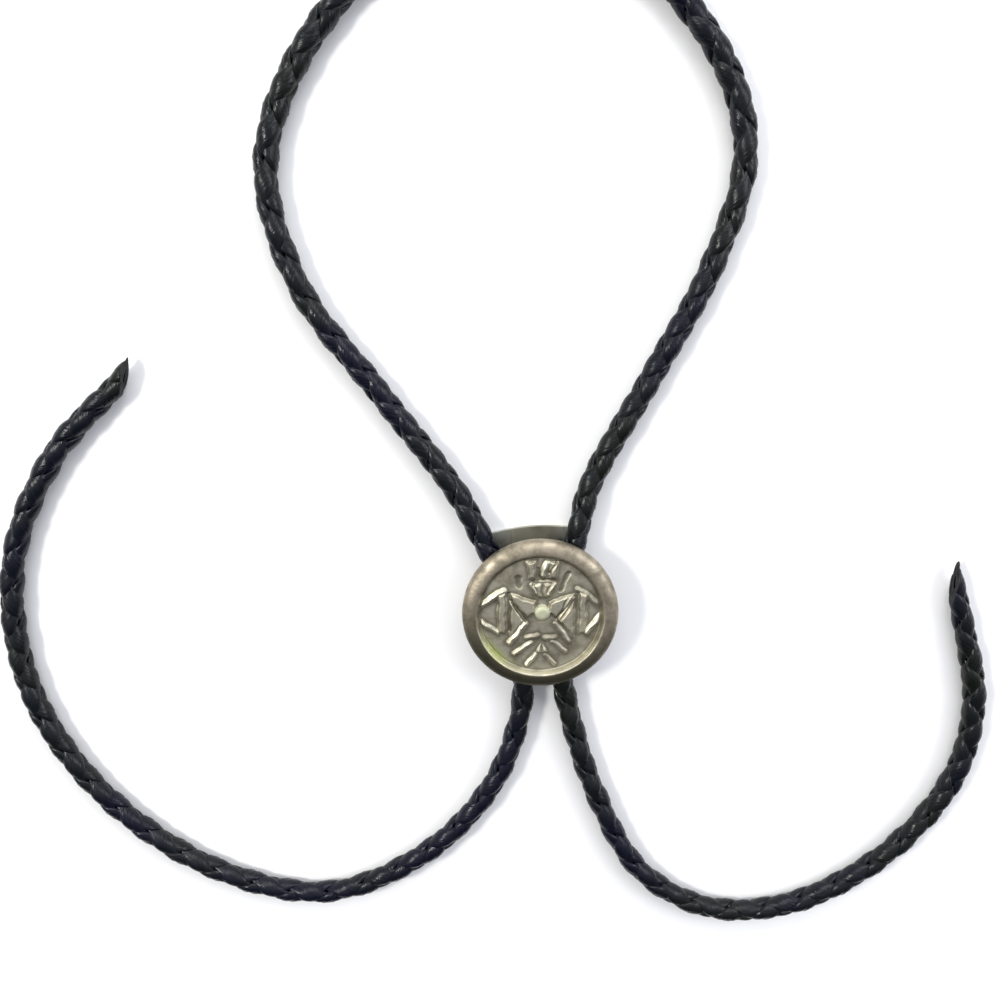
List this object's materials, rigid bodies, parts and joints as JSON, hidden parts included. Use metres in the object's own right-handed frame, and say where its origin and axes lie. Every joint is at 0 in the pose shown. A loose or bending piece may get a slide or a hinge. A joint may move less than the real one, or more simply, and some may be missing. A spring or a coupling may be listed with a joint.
{
  "type": "bolo tie",
  "caption": "Braided leather bolo tie: one round cord runs through a cast round metal slide with a raised geometric motif and a sheet-metal clasp behind it.",
  "frame": {"origin": "under the centre of the round concho, in the plane of the clasp's flat back, which is the surface the tie lies on", "axes": "+Z out of the concho's front face, away from the surface; +Y towards the neck loop; +X to the viewer's right"},
  "size_m": [0.2493, 0.2489, 0.0116],
  "materials": {
    "leather": "glossy black dyed laces in a four-strand round braid",
    "concho_metal": "cast, satin, with dark patina in the recesses",
    "clasp_metal": "dull tarnished sheet"
  },
  "bodies": {
    "root": {"braided_cord": "leather", "concho": "concho_metal", "back_clasp": "clasp_metal"}
  },
  "joints": []
}
